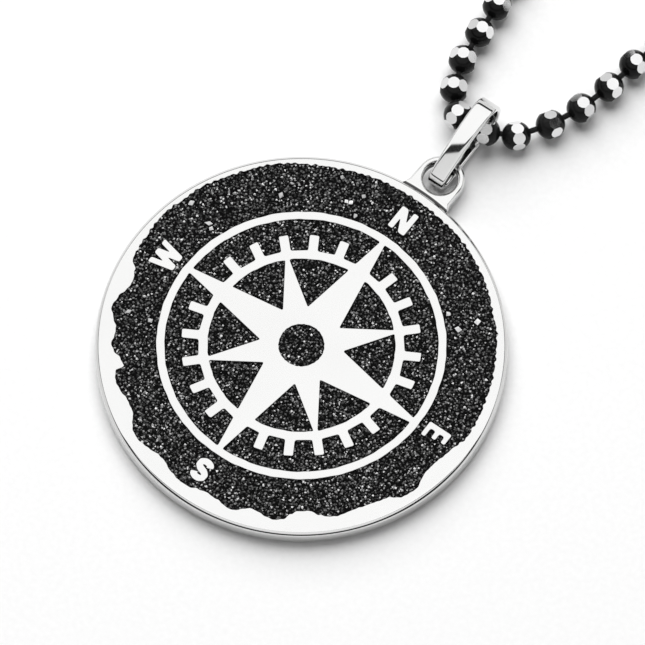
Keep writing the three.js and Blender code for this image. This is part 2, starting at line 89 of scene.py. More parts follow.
def aimed(name, data, target, away, distance):
    """Adds a camera or a lamp at a distance from its target, looking back at it."""
    item = bpy.data.objects.new(name, data)
    item.location = (Vector(target) + away * distance) * MM
    item.rotation_euler = (-away).to_track_quat("-Z", "Y").to_euler()
    bpy.context.scene.collection.objects.link(item)
    return item


lens = bpy.data.cameras.new("product_camera")
lens.sensor_width = SENSOR_WIDTH
lens.lens = SENSOR_WIDTH * VIEW_DISTANCE / VIEW_WIDTH
camera = aimed("product_camera", lens, VIEW_TARGET, way_out(-90, VIEW_ELEVATION), VIEW_DISTANCE)
bpy.context.scene.camera = camera
print("lens", round(lens.lens), "mm")

# %% [markdown]
# Meshes are made from arrays of points and lists of faces: the quickest way to make thousands of
# grains or beads, and an exact one. One helper turns them into a piece that rides on the frame's only
# body. Another lists the faces between rings of points, as bent and turned bodies have them.

# %% Making pieces from arrays
WELD = 1e-7


def new_mesh(name, points, faces, smooth=None):
    """A mesh from points in millimetres. smooth says, face by face, which ones are shaded smooth."""
    mesh = bpy.data.meshes.new(name)
    mesh.from_pydata([tuple(p) for p in np.asarray(points, float) * MM], [], faces)
    flags = np.ones(len(faces), bool) if smooth is None else np.asarray(smooth, bool)
    mesh.polygons.foreach_set("use_smooth", flags)
    mesh.update()
    return mesh


@contextmanager
def edited(mesh):
    """Opens a mesh for Blender's mesh tools, and puts the result back."""
    shape = bmesh.new()
    shape.from_mesh(mesh)
    yield shape
    shape.to_mesh(mesh)
    shape.free()


def closed_mesh(name, points, faces):
    """A mesh whose coinciding corners are joined and whose faces all look outwards."""
    mesh = new_mesh(name, points, faces)
    with edited(mesh) as shape:
        bmesh.ops.remove_doubles(shape, verts=shape.verts, dist=WELD)
        bmesh.ops.recalc_face_normals(shape, faces=shape.faces)
    return mesh


def new_piece(name, mesh, materials, slot, *nodes):
    piece = bpy.data.objects.new(name, mesh)
    for material in materials:
        mesh.materials.append(material)
    bpy.context.scene.collection.objects.link(piece)
    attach(piece, "root")
    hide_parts(*nodes)
    return piece


def skin(first, rings, sides, closed=False):
    """Faces between rings of points that are listed one after another, from the index first."""
    faces = []
    for ring in range(rings if closed else rings - 1):
        a, b = first + ring * sides, first + (ring + 1) % rings * sides
        for i in range(sides):
            j = (i + 1) % sides
            faces.append([a + i, a + j, b + j, b + i])
    return faces


def polar(radius, bearing):
    """A point of the dial: bearings are in degrees, clockwise from +Y, as on a compass."""
    angle = np.radians(bearing)
    return np.stack([radius * np.sin(angle), radius * np.cos(angle)], -1)


def turned(points, bearing):
    angle = np.radians(bearing)
    x, y = np.asarray(points, float).T
    return np.stack([x * np.cos(angle) + y * np.sin(angle), y * np.cos(angle) - x * np.sin(angle)], -1)


print("the point 10 mm out at bearing 90 is", polar(10, 90).round(3))

# %% [markdown]
# The metal is silver: fully metallic, very pale and quite smooth. A perfect mirror would look like
# glass, so noise as fine as polishing marks varies the roughness and tilts the surface a little.

# %% Silver
MARK_SCALE = 900
CLOUD_SCALE = 220
FINE_BUMP = 0.02
PALE_SILVER = (0.77, 0.77, 0.765)
DULL_SILVER = (0.75, 0.75, 0.745)


def feed(tree, node, inputs):
    """Sets a node's inputs: another node's output is linked, and anything else is a plain value."""
    for name, value in inputs.items():
        if isinstance(value, bpy.types.NodeSocket):
            tree.links.new(value, node.inputs[name])
        else:
            node.inputs[name].default_value = value


def add_node(tree, kind, inputs, **settings):
    node = tree.nodes.new("ShaderNode" + kind)
    for name, value in settings.items():
        setattr(node, name, value)
    feed(tree, node, inputs)
    return node


def noise(tree, scale, detail, source):
    inputs = {"Vector": source, "Scale": scale, "Detail": detail}
    return add_node(tree, "TexNoise", inputs).outputs["Fac"]


def ramp(tree, source, stops):
    node = add_node(tree, "ValToRGB", {"Fac": source})
    elements = node.color_ramp.elements
    while len(elements) < len(stops):
        elements.new(0.5)
    for element, (place, shade) in zip(elements, stops):
        element.position = place
        element.color = (*shade, 1) if isinstance(shade, tuple) else (shade, shade, shade, 1)
    return node.outputs["Color"]


def bump(tree, source, strength):
    inputs = {"Height": source, "Strength": strength, "Distance": FINE_BUMP * MM}
    return add_node(tree, "Bump", inputs).outputs["Normal"]


def object_place(tree):
    """Where a point lies on its object, in metres."""
    return add_node(tree, "TexCoord", {}).outputs["Object"]


def new_material(name):
    material = bpy.data.materials.new(name)
    material.use_nodes = True
    tree = material.node_tree
    return material, tree, tree.nodes["Principled BSDF"], object_place(tree)


def silver(name, pale, dark, smoothest, roughest, scratch):
    material, tree, shader, place = new_material(name)
    marks = noise(tree, MARK_SCALE, 6, place)
    clouds = noise(tree, CLOUD_SCALE, 3, place)
    feed(tree, shader, {
        "Metallic": 1,
        "Base Color": ramp(tree, clouds, [(0.3, dark), (0.7, pale)]),
        "Roughness": ramp(tree, marks, [(0.3, smoothest), (0.75, roughest)]),
        "Normal": bump(tree, marks, scratch),
    })
    return material


face_silver = silver("face_silver", PALE_SILVER, DULL_SILVER, 0.16, 0.24, 0.08)
bright_silver = silver("bright_silver", PALE_SILVER, (0.74, 0.74, 0.735), 0.04, 0.09, 0.04)
print("finishes:", face_silver.name, "and", bright_silver.name)

# %% [markdown]
# The dial is drawn as closed outlines, as for a caster's pattern. Each is only its real corners and
# arcs. Softened corners and a slight waver come after that, because real edges are finished by hand.

# %% The dial's sizes
FACE_TURN = -1
HUB_RADIUS = 1.68
NOTCH_RADIUS = 3.1
NOTCH_BEARING = 27.5
TICK_RING_RADIUS = 6.9
TICK_RING_OUTER = 7.6
TICK_TIP = 8.85
TICK_WIDTH = 0.72
TICKS_IN_QUARTER = 5
ROSE_RING_RADIUS = 10.07
ROSE_RING_OUTER = 10.68
COAST_RADIUS = 14.65
COAST_DEPTH = 1.5
LONG_TIP = 11.4
SHORT_TIP = 7.7
EDGE_WAVER = 0.022

notch = polar(NOTCH_RADIUS, NOTCH_BEARING)
long_tip = polar(LONG_TIP, 0)
short_tip = polar(SHORT_TIP, 45)


def crossing(a, b, radius):
    """Where the straight line from a to b crosses the circle of this radius."""
    step = b - a
    half = a @ step / (step @ step)
    rest = (a @ a - radius**2) / (step @ step)
    return a + step * (-half + math.sqrt(half**2 - rest))


def bearing_of(point):
    return math.degrees(math.atan2(point[0], point[1]))


def arc(radius, start, end, step=2.5):
    count = max(2, int(abs(end - start) / step) + 1)
    return list(polar(radius, np.linspace(start, end, count)))


print("the rose's notches are at", notch.round(2), "and its long points end at", long_tip.round(2))

# %% [markdown]
# Two outlines repeat round the dial: the wedge beside each point of the rose, and the band between the
# two rings, with ticks standing into it. Each is drawn once, and turned into place later.

# %% The dial's small outlines
CORNER_SOFTNESS = 0.13
CORNER_BEND = 20
CORNER_SHARE = 0.45


def soften(points, radius, steps=4):
    """Rounds each true corner of a closed outline; the gentle bends of an arc stay as they are."""
    points = [np.asarray(p, float) for p in points]
    out = []
    for i, point in enumerate(points):
        into = point - points[i - 1]
        away = points[(i + 1) % len(points)] - point
        lengths = np.linalg.norm(into), np.linalg.norm(away)
        turn = abs(math.atan2(into[0] * away[1] - into[1] * away[0], into @ away))
        if turn < math.radians(CORNER_BEND):
            out.append(point)
            continue
        reach = min(radius, CORNER_SHARE * lengths[0], CORNER_SHARE * lengths[1])
        start = point - into / lengths[0] * reach
        end = point + away / lengths[1] * reach
        for t in np.linspace(0, 1, steps):
            out.append((1 - t) ** 2 * start + 2 * t * (1 - t) * point + t**2 * end)
    return np.array(out)


def wedge():
    """One opening inside the tick ring, to the right of a long point."""
    start = bearing_of(crossing(notch, long_tip, TICK_RING_RADIUS))
    end = bearing_of(crossing(notch, short_tip, TICK_RING_RADIUS))
    return [notch, *arc(TICK_RING_RADIUS, start, end)]


def band():
    """One opening between the two rings, with five ticks standing into it."""
    start = bearing_of(crossing(notch, long_tip, TICK_RING_OUTER))
    end = bearing_of(crossing(notch, long_tip, ROSE_RING_RADIUS))
    half = TICK_WIDTH / 2
    swing = math.degrees(math.asin(half / TICK_RING_OUTER))
    tip = math.sqrt(TICK_TIP**2 - half**2)
    points = [polar(TICK_RING_OUTER, start)]
    for i in range(1, TICKS_IN_QUARTER + 1):
        bearing = 90 * i / (TICKS_IN_QUARTER + 1)
        tick = [polar(TICK_RING_OUTER, -swing), (-half, tip), (half, tip), polar(TICK_RING_OUTER, swing)]
        points += list(turned(tick, bearing))
    points.append(polar(TICK_RING_OUTER, 90 - start))
    return points + arc(ROSE_RING_RADIUS, 90 - end, end)


print("a wedge has", len(wedge()), "points and a band", len(band()))

# %% [markdown]
# The letters are plain strokes. Each is one outline worked out from height, width and stroke, so its
# corners stay right when a size changes. The S is a line along two bends, widened to both sides.

# %% Letters
LETTER_SOFTNESS = 0.15
LETTER_HEIGHT = 1.95
STROKE = 0.46
NORTH_WIDTH = 1.5
NORTH_DIAGONAL = 0.55
EAST_WIDTH = 1.25
EAST_ARM = 0.37
EAST_TOP = 0.78
EAST_MIDDLE = 0.85
SOUTH_WIDTH = 1.42
SOUTH_STROKE = 0.55
WEST_WIDTH = 2.19


def north():
    w, h, s, d = NORTH_WIDTH / 2, LETTER_HEIGHT / 2, STROKE, NORTH_DIAGONAL
    fall = 2 * h / (2 * w - d)
    return [
        (-w, -h), (-w + s, -h), (-w + s, h - fall * s), (w - d, -h), (w, -h),
        (w, h), (w - s, h), (w - s, h - fall * (2 * w - s - d)), (-w + d, h), (-w, h),
    ]


def east():
    w, h, s, a = EAST_WIDTH, LETTER_HEIGHT / 2, STROKE, EAST_ARM
    x = -w / 2
    top, middle = x + EAST_TOP * w, x + EAST_MIDDLE * w
    return [
        (x, -h), (x + w, -h), (x + w, -h + a), (x + s, -h + a), (x + s, -a / 2), (middle, -a / 2),
        (middle, a / 2), (x + s, a / 2), (x + s, h - a), (top, h - a), (top, h), (x, h),
    ]


def west():
    h, q = LETTER_HEIGHT / 2, STROKE / 2
    outer = WEST_WIDTH / 2 - q
    foot = outer / 2
    share = 1 - 2 * q / outer
    inside = outer - q - (outer - foot) * share
    valley = h - 2 * h * share
    crotch = -h + 2 * h * (foot - q) / foot
    return [
        (-outer - q, h), (-foot - q, -h), (-foot + q, -h), (0, crotch), (foot - q, -h), (foot + q, -h),
        (outer + q, h), (outer - q, h), (inside, valley), (q, h), (-q, h), (-inside, valley),
        (-outer + q, h),
    ]


# The upper half of the S; its lower half is the same, turned round
SOUTH_BENDS = [(0.98, 0.55), (0.8, 0.85), (0.3, 1), (-0.35, 1), (-0.92, 0.78), (-0.95, 0.36), (-0.5, 0.1)]


def south():
    reach = np.array([SOUTH_WIDTH - SOUTH_STROKE, LETTER_HEIGHT - SOUTH_STROKE]) / 2
    line = np.array([*SOUTH_BENDS, *((-x, -y) for x, y in reversed(SOUTH_BENDS))]) * reach
    way = np.gradient(line, axis=0)
    way /= np.linalg.norm(way, axis=1)[:, None]
    side = np.stack([-way[:, 1], way[:, 0]], -1) * SOUTH_STROKE / 2
    return [*(line - side), *(line + side)[::-1]]


# Each letter's bearing and its distance from the middle
LETTER_PLACES = [(north, 0.7, 12.45), (east, 89.4, 12.2), (south, 180, 12.3), (west, 269.1, 12.15)]
letter_outlines = [
    turned(soften(letter(), LETTER_SOFTNESS) + (0, distance), bearing)
    for letter, bearing, distance in LETTER_PLACES
]
print("letters of", [len(outline) for outline in letter_outlines], "points")

# %% [markdown]
# The sand ends in an irregular coast, like a shore on an old map. A table says how far in the silver
# comes at each headland and bay, and the line flows smoothly between its rows. Along the thin side of
# the rim the edge is ragged at the scale of the grains, which a few waves give.

# %% Coast
COAST = [
    (2, 0.2), (22, 0.13), (37, 0.17), (43, 0.23), (50, 0.17), (60, 0.23), (72, 0.27), (85, 0.3),
    (88, 0.43), (91, 0.6), (97, 0.73), (102, 0.7), (104, 0.53), (107, 0.3), (112, 0.33), (114, 0.47),
    (116, 0.65), (122, 0.7), (127, 0.7), (133, 0.53), (136, 0.6), (138, 0.73), (141, 0.97), (145, 0.97),
    (147, 0.8), (149, 0.5), (152, 0.4), (155, 0.55), (157, 0.7), (160, 0.77), (162, 0.63), (164, 0.43),
    (166, 0.4), (171, 0.63), (174, 0.7), (177, 0.63), (180, 0.45), (184, 0.43), (188, 0.55), (191, 0.7),
    (194, 0.68), (197, 0.52), (202, 0.33), (205, 0.37), (207, 0.53), (210, 0.77), (215, 0.77),
    (219, 0.57), (222, 0.47), (225.3, 0.57), (226.3, 1), (229, 0.87), (232, 0.57), (234, 0.45),
    (237, 0.6), (240, 0.63), (242, 0.47), (246, 0.23), (250, 0.43), (252, 0.65), (254, 0.78),
    (257, 0.8), (260, 0.65), (263, 0.27), (272, 0.2), (274, 0.1), (282, 0.03), (286, 0.1), (292, 0),
    (302, 0.07), (317, 0.03), (332, 0.17), (347, 0.17),
]
COAST_STEP = 0.5
RAGGED_FROM = 262
RAGGED_TO = 88
RAGGED_DEPTH = 0.035
SMOOTH_DEPTH = 0.012
COAST_WAVER = 0.02


def waver(bearings, size):
    """A small unevenness that closes on itself after a full turn."""
    angle = np.radians(bearings)
    waves = np.sin(23 * angle + 1) + 0.8 * np.sin(41 * angle + 4) + 0.6 * np.sin(67 * angle + 2)
    return size * waves / 1.6


def coast_outline():
    bearings = np.arange(0, 360, COAST_STEP)
    places, shares = np.array([COAST[-1], *COAST, COAST[0]]).T
    places[0] -= 360
    places[-1] += 360
    row = np.searchsorted(places, bearings, side="right") - 1
    along = (bearings - places[row]) / (places[row + 1] - places[row])
    eased = along * along * (3 - 2 * along)
    share = shares[row] + (shares[row + 1] - shares[row]) * eased
    ragged = (bearings > RAGGED_FROM) | (bearings < RAGGED_TO)
    angle = np.radians(bearings)
    grit = np.sin(131 * angle) + np.sin(179 * angle + 2) + 0.7 * np.sin(97 * angle + 5)
    radius = COAST_RADIUS - share * COAST_DEPTH + waver(bearings, COAST_WAVER)
    return polar(radius + np.where(ragged, RAGGED_DEPTH, SMOOTH_DEPTH) * grit, bearings)


coast = coast_outline()
print("the coast has", len(coast), "points")

# %% [markdown]
# Now every outline is turned into place, under the name of the solid that fills it. The outer field
# has six: its coast, the ring inside it and the four letters that stand in it.

# %% All the dial's outlines
def ring_outline(radius, step=1.5):
    bearings = np.arange(0, 360, step)
    return polar(radius + waver(bearings, EDGE_WAVER), bearings)


def wavered(points, size=EDGE_WAVER):
    """Moves each point of an outline in or out a little, by its bearing and its distance."""
    points = np.asarray(points, float)
    radius = np.linalg.norm(points, axis=1)
    bearing = np.degrees(np.arctan2(points[:, 0], points[:, 1]))
    return points * (1 + waver(bearing + 40 * radius, size) / radius)[:, None]


pockets = {"sand_hub": ring_outline(HUB_RADIUS, 5)}
for quarter in range(4):
    mirrored = [(-x, y) for x, y in reversed(wedge())]
    names = f"sand_rose_{2 * quarter + 1}", f"sand_rose_{2 * quarter + 2}", f"sand_band_{quarter + 1}"
    for name, shape in zip(names, (wedge(), mirrored, band())):
        pockets[name] = wavered(soften(turned(shape, 90 * quarter), CORNER_SOFTNESS))
pockets = {name: turned(outline, FACE_TURN) for name, outline in pockets.items()}
field_outlines = [coast, ring_outline(ROSE_RING_OUTER), *letter_outlines]
field_outlines = [turned(outline, FACE_TURN) for outline in field_outlines]
print(len(pockets) + 1, "fields of sand")

# %% [markdown]
# The disc is one closed body with a flat face full of recesses. A constrained triangulation joins the
# corners of all outlines into triangles and never crosses an outline. A triangle is metal when an odd
# number of outlines goes round it.

# %% Filling flat faces
def encloses(outline, spots):
    """For each spot, whether a ray from it crosses the outline an odd number of times."""
    a = np.asarray(outline)
    b = np.roll(a, -1, axis=0)
    x, y = spots[:, :1], spots[:, 1:]
    rise = b[:, 1] - a[:, 1]
    spans = (a[:, 1] > y) != (b[:, 1] > y)
    crossing_x = a[:, 0] + (y - a[:, 1]) * (b[:, 0] - a[:, 0]) / np.where(rise == 0, 1, rise)
    return (spans & (x < crossing_x)).sum(axis=1) % 2 == 1


def odd_rule(outlines, spots):
    return sum(encloses(outline, spots).astype(int) for outline in outlines) % 2 == 1


def fill(outlines):
    """Triangles that fill the outlines by the odd rule, as indices into all their points in a row."""
    points = np.concatenate(outlines)
    edges = []
    for outline in outlines:
        first, count = len(edges), len(outline)
        edges += [(first + i, first + (i + 1) % count) for i in range(count)]
    result = delaunay_2d_cdt([Vector(p) for p in points], edges, [], 0, 1e-6)
    corners, triangles, sources = result[0], result[2], result[3]
    places = np.array([tuple(corner) for corner in corners])
    middles = np.array([places[list(t)].mean(axis=0) for t in triangles])
    inside = odd_rule(outlines, middles)
    return [[sources[i][0] for i in t] for t, keep in zip(triangles, inside) if keep]


def shifted(outline, distance):
    """A closed outline moved outwards by this distance, or inwards where it is negative."""
    ahead = np.roll(outline, -1, axis=0) - np.roll(outline, 1, axis=0)
    ahead /= np.linalg.norm(ahead, axis=1)[:, None]
    outward = np.stack([ahead[:, 1], -ahead[:, 0]], -1)
    x, y = outline.T
    if (x * np.roll(y, -1) - y * np.roll(x, -1)).sum() < 0:
        distance = -distance
    return outline + outward * distance


square = np.array([(0, 0), (1, 0), (1, 1), (0, 1)], float)
print("a square is filled with", len(fill([square])), "triangles")

# %% [markdown]
# A closed body is a stack of loops: walls join each loop to the next, and covers fill the flat ends.
# Sloping faces are shaded smooth and level ones flat, so the edge looks round and the face even.

# %% Closed bodies from loops
LEVEL = 0.999


class Shell:
    """Collects the loops and faces of one closed body."""

    def __init__(self):
        self.points, self.faces = [], []

    def loop(self, outline, height):
        start = len(self.points)
        self.points += [(x, y, height) for x, y in outline]
        return list(range(start, len(self.points)))

    def walls(self, loops):
        for a, b in zip(loops, loops[1:]):
            self.faces += [(a[i - 1], a[i], b[i], b[i - 1]) for i in range(len(a))]

    def cover(self, loops):
        """Fills flat loops by the odd rule."""
        outlines = [np.array([self.points[i][:2] for i in loop]) for loop in loops]
        order = [i for loop in loops for i in loop]
        self.faces += [tuple(order[i] for i in face) for face in fill(outlines)]

    def mesh(self, name):
        mesh = new_mesh(name, self.points, self.faces)
        with edited(mesh) as shape:
            bmesh.ops.recalc_face_normals(shape, faces=shape.faces)
            for face in shape.faces:
                face.smooth = abs(face.normal.z) < LEVEL
        return mesh


box = Shell()
box.walls([box.loop(square, height) for height in (0, 1)])
print("a box has", len(box.faces), "walls")

# %% [markdown]
# A fine dark line runs round the disc's upper edge: the studio's dark band, mirrored where the metal
# tilts just so. That tilt differs from side to side, so the edge is a row of bends, wide at the tilts
# that mirror the band and very tight between them.

# %% The disc's edge
SIDE_TILT = 84
# Where each bend's tilt starts and ends, in degrees, and its radius
EDGE_BENDS = [
    (0, 17, 0.03), (17, 23, 0.45), (23, 28, 0.03), (28, 33, 0.45), (33, 36, 0.03), (36, 46, 1.3),
    (46, SIDE_TILT, 0.03),
]


def quarter_round(steps):
    """Across and down shares of a rounded edge, from the flat face to the wall."""
    angles = np.linspace(0, math.pi / 2, steps + 1)
    return [(1 - math.sin(angle), 1 - math.cos(angle)) for angle in angles]


def bent_edge(height, scale=1, steps=3):
    """Inward and downward distances from the face's edge down the side, which bulges a very little."""
    across, down, rows = 0, 0, [(0, 0)]
    for start, end, radius in [*EDGE_BENDS, (SIDE_TILT, 90, None)]:
        if radius is None:
            radius = (height - down) / math.cos(math.radians(SIDE_TILT))
        else:
            radius *= scale
        angles = np.radians(np.linspace(start, end, steps + 1))
        for a, b in zip(angles, angles[1:]):
            across += radius * (math.sin(b) - math.sin(a))
            down += radius * (math.cos(a) - math.cos(b))
            rows.append((across, down))
    return [(across - reach, drop) for reach, drop in rows]


print("the edge takes", round(bent_edge(DISC_TOP)[0][0], 2), "mm of the radius")

# %% [markdown]
# The disc starts with its outer wall, which bends under at the back. Each outline in the face adds a
# fine round edge and a wall down to the recess floor. Bevels and side get the brighter silver.

# %% The silver disc
RECESS_DEPTH = 0.45
RECESS_FLOOR = DISC_TOP - RECESS_DEPTH
EDGE_ROUND = 0.03
BACK_ROUND = 0.28
BACK_STEPS = 5
RIM_POINTS = 360
RIM_BAND = 0.35
RIM_LEVEL = 0.99
# The side of each of the outer field's outlines on which its sand lies: 1 is inside it
FIELD_SIDES = [1, -1, -1, -1, -1, -1]


def disc_mesh():
    shell = Shell()
    bearings = np.linspace(0, 360, RIM_POINTS, endpoint=False)
    rim = [shell.loop(polar(DISC_RADIUS - across, bearings), DISC_TOP - down)
           for across, down in bent_edge(DISC_TOP - BACK_ROUND)[:-1]]
    rim += [shell.loop(polar(DISC_RADIUS - BACK_ROUND * across, bearings), BACK_ROUND * down)
            for across, down in reversed(quarter_round(BACK_STEPS))]
    shell.walls(rim)
    shell.faces.append(tuple(rim[-1]))
    tops, floors = [rim[0]], []
    sides = FIELD_SIDES + [1] * len(pockets)
    for outline, side in zip([*field_outlines, *pockets.values()], sides):
        loops = [shell.loop(shifted(outline, side * EDGE_ROUND * across), DISC_TOP - EDGE_ROUND * down)
                 for across, down in quarter_round(3)]
        loops.append(shell.loop(outline, RECESS_FLOOR))
        shell.walls(loops)
        tops.append(loops[0])
        floors.append(loops[-1])
    shell.cover(tops)
    shell.cover(floors)
    mesh = shell.mesh("silver_disc")
    for polygon in mesh.polygons:
        outer = polygon.center.xy.length > (DISC_RADIUS - RIM_BAND) * MM
        polygon.material_index = int(outer and abs(polygon.normal.z) < RIM_LEVEL)
    return mesh


disc = new_piece("silver_disc", disc_mesh(), [face_silver, bright_silver], "silver", "pendant_disc")
print("disc faces", len(disc.data.polygons))

# %% [markdown]
# The eye is a flat ring soldered to the disc's edge. Its seam along the disc and the wall of its hole
# are darkened in the colour: partly tarnish, partly painted shade for the deep shadow in the hole. The
# material finds them by their distance from an axis.

# %% The eye's silver
EYE_HOLE = 1.28
EYE_WALL = 0.55
EYE_CENTRE = disc_high[1] - EYE_HOLE - EYE_WALL
# Dark colour for the seam and the hole's wall: partly tarnish, partly painted shade
TARNISH_AND_SHADE = (0.06, 0.06, 0.06, 1)
TARNISH_AND_SHADE_REACH = 0.02
SEAM_SPREAD = 0.05
HOLE_SPREAD = 0.06


def near_circle(tree, place, centre_y, radius, spread):
    """1 within the radius of an upright axis at (0, centre_y), falling to 0 over the spread."""
    inputs = {0: place, 1: (1, 1, 0), 2: (0, -centre_y * MM, 0)}
    flat = add_node(tree, "VectorMath", inputs, operation="MULTIPLY_ADD")
    length = add_node(tree, "VectorMath", {0: flat.outputs["Vector"]}, operation="LENGTH")
    return add_node(tree, "MapRange", {
        "Value": length.outputs["Value"],
        "From Min": radius * MM,
        "From Max": (radius + spread) * MM,
        "To Min": 1,
        "To Max": 0,
    }).outputs["Result"]


def tarnished_and_shaded_silver():
    material = silver("eye_silver", PALE_SILVER, DULL_SILVER, 0.06, 0.14, 0.05)
    tree = material.node_tree
    shader = tree.nodes["Principled BSDF"]
    place = object_place(tree)
    # Mask of painted shade and tarnish: the seam along the disc and the hole's wall, found by distance from
    # their axes
    tarnish_and_shade = add_node(tree, "Math", {
        0: near_circle(tree, place, 0, DISC_RADIUS + TARNISH_AND_SHADE_REACH, SEAM_SPREAD),
        1: near_circle(tree, place, EYE_CENTRE, EYE_HOLE + TARNISH_AND_SHADE_REACH, HOLE_SPREAD),
    }, operation="MAXIMUM")
    mix = add_node(tree, "Mix", {
        "Factor": tarnish_and_shade.outputs["Value"],
        "A": shader.inputs["Base Color"].links[0].from_socket,
        "B": TARNISH_AND_SHADE,
    }, data_type="RGBA")
    feed(tree, shader, {"Base Color": mix.outputs["Result"]})
    return material


# The eye's silver, darkened at the seam and in the hole by painted shade and tarnish
eye_silver = tarnished_and_shaded_silver()
print("eye centre at", round(EYE_CENTRE, 2), "mm")

# %% [markdown]
# The eye's outline is an arc with a flared foot that ends inside the disc, a little below the face.
# Its top edge has the disc's bends in a smaller size, and its lower edge is plainly round.

# %% The eye
EYE_FOOT = 0.2
EYE_SUNK = 0.1
EYE_NECK = (0.04, 0.75)
EYE_TOP = DISC_TOP - 0.1
EYE_BOTTOM = 0.47
EYE_ROUND = 0.18
EYE_EDGE_SCALE = 0.6


def eye_mesh():
    outer = EYE_HOLE + EYE_WALL
    root = math.sqrt(DISC_RADIUS**2 - outer**2) - EYE_SUNK - EYE_FOOT
    neck_out, neck_up = EYE_NECK
    foot = [(-outer - EYE_FOOT, root), (-outer - neck_out, root + neck_up)]
    top = polar(outer, np.linspace(-90, 90, 49)) + (0, EYE_CENTRE)
    outline = np.array([*foot, *top, *((-x, y) for x, y in reversed(foot))])
    hole = polar(EYE_HOLE, np.linspace(0, 360, 64, endpoint=False)) + (0, EYE_CENTRE)
    shell = Shell()
    edge = bent_edge(EYE_TOP - EYE_BOTTOM - EYE_ROUND, EYE_EDGE_SCALE)[:-1]
    ends = []
    for line, side in ((outline, -1), (hole, 1)):
        loops = [shell.loop(shifted(line, side * inward), EYE_TOP - down) for inward, down in edge]
        loops += [shell.loop(shifted(line, side * EYE_ROUND * across), EYE_BOTTOM + EYE_ROUND * down)
                  for across, down in reversed(quarter_round(BACK_STEPS))]
        shell.walls(loops)
        ends.append((loops[0], loops[-1]))
    for flat in zip(*ends):
        shell.cover(flat)
    return shell.mesh("eye")


eye = new_piece("eye", eye_mesh(), [eye_silver], "silver", "pendant_disc")
print("eye faces", len(eye.data.polygons))

# %% [markdown]
# The inlays are real sand in dark resin. A texture looks flat, because each grain has facets of its
# own, so the grains are real shapes. Each keeps its tone as an attribute, which the material reads.

# %% Sand material
def sand_material():
    material, tree, shader, place = new_material("sand")
    tone = add_node(tree, "Attribute", {}, attribute_name="tone")
    feed(tree, shader, {
        "Base Color": tone.outputs["Fac"],
        "Roughness": 0.28,
        "IOR": 1.5,
        "Specular IOR Level": 0.02,
        "Normal": bump(tree, noise(tree, 9000, 2, place), 0.15),
    })
    return material


sand = sand_material()
print(sand.name, "has", len(sand.node_tree.nodes), "nodes")

# %% [markdown]
# The grains start on an even grid, are pushed about at random and are dropped where they would touch
# metal. Most are near black. The largest light ones stand out, so a short table places them.

# %% Sand grains
GRAIN_PITCH = 0.2
GRAIN_SHAKE = 0.06
GRAIN_SMALLEST = 0.09
GRAIN_LARGEST = 0.145
GRAIN_ROOM = 0.6 * GRAIN_SMALLEST
GRAIN_UNEVENNESS = 0.2
GRAIN_SINK = 0.07
TONE_DARKEST = 0.002
RESIN_DROP = 0.11
RESIN_GAP = 0.05
RESIN_TONE = 0.003
TONE_MIDDLE = 0.1
TONE_SPREAD = 1.1
TONE_LIGHTEST = 0.85
LIGHT_GRAIN_FLATNESS = 0.25
LIGHT_GRAIN_ROOM = 0.05
# The largest light grains in the outer field: bearing, distance from the middle, size, tone
LIGHT_GRAINS = [
    (44.3, 13.1, 0.31, 0.8), (46.2, 11.6, 0.27, 0.65), (39.4, 11.1, 0.27, 0.65), (287.2, 14, 0.27, 0.6),
    (287.2, 11.5, 0.26, 0.6), (287.8, 11.9, 0.26, 0.6), (315.5, 12.1, 0.27, 0.5), (340.2, 12, 0.24, 0.85),
    (338.7, 12, 0.2, 0.85), (343.7, 12.8, 0.24, 0.45), (335.2, 13.8, 0.22, 0.4), (343.7, 11.1, 0.23, 0.5),
    (242.7, 11.3, 0.21, 0.5), (244.7, 13, 0.2, 0.5),
]
GRAIN_CORNERS = np.array([(1, 0, 0), (0, 1, 0), (-1, 0, 0), (0, -1, 0), (0, 0, 1), (0, 0, -1)], float)
GRAIN_FACES = np.array([
    (0, 1, 4), (1, 2, 4), (2, 3, 4), (3, 0, 4), (1, 0, 5), (2, 1, 5), (3, 2, 5), (0, 3, 5),
])


def random_turns(random, count):
    """Random rotations, as matrices with random axes made square to each other."""
    turns, _ = np.linalg.qr(random.normal(size=(count, 3, 3)))
    return turns


def grain_spots(outlines, sides, random):
    points = np.concatenate(outlines)
    low, high = points.min(axis=0), points.max(axis=0)
    row = GRAIN_PITCH * math.sqrt(3) / 2
    xs = np.arange(low[0], high[0], GRAIN_PITCH)
    ys = np.arange(low[1], high[1], row)
    grid = np.stack(np.meshgrid(xs, ys), -1)
    grid[1::2, :, 0] += GRAIN_PITCH / 2
    spots = grid.reshape(-1, 2)
    spots = spots + random.normal(size=spots.shape) * GRAIN_SHAKE
    clear = [shifted(outline, -side * GRAIN_ROOM) for outline, side in zip(outlines, sides)]
    return spots[odd_rule(clear, spots)]


def grain_tones(random, count):
    tones = TONE_MIDDLE * np.exp(TONE_SPREAD * random.normal(size=count))
    return tones.clip(TONE_DARKEST, TONE_LIGHTEST)


def grain_points(random, spots, size):
    """Uneven grains with six corners each, turned at random, their tops just below the face."""
    count = len(spots)
    uneven = (1 + GRAIN_UNEVENNESS * random.normal(size=(count, 6, 1))).clip(0.6, 1.4)
    corners = GRAIN_CORNERS * uneven
    corners = np.einsum("nij,nkj->nki", random_turns(random, count), corners) * size[:, None, None]
    corners[size > GRAIN_LARGEST, :, 2] *= LIGHT_GRAIN_FLATNESS
    top = corners[:, :, 2].max(axis=1)
    height = DISC_TOP - GRAIN_SINK * random.random(count) - top
    return corners + np.concatenate([spots, height[:, None]], axis=1)[:, None, :]


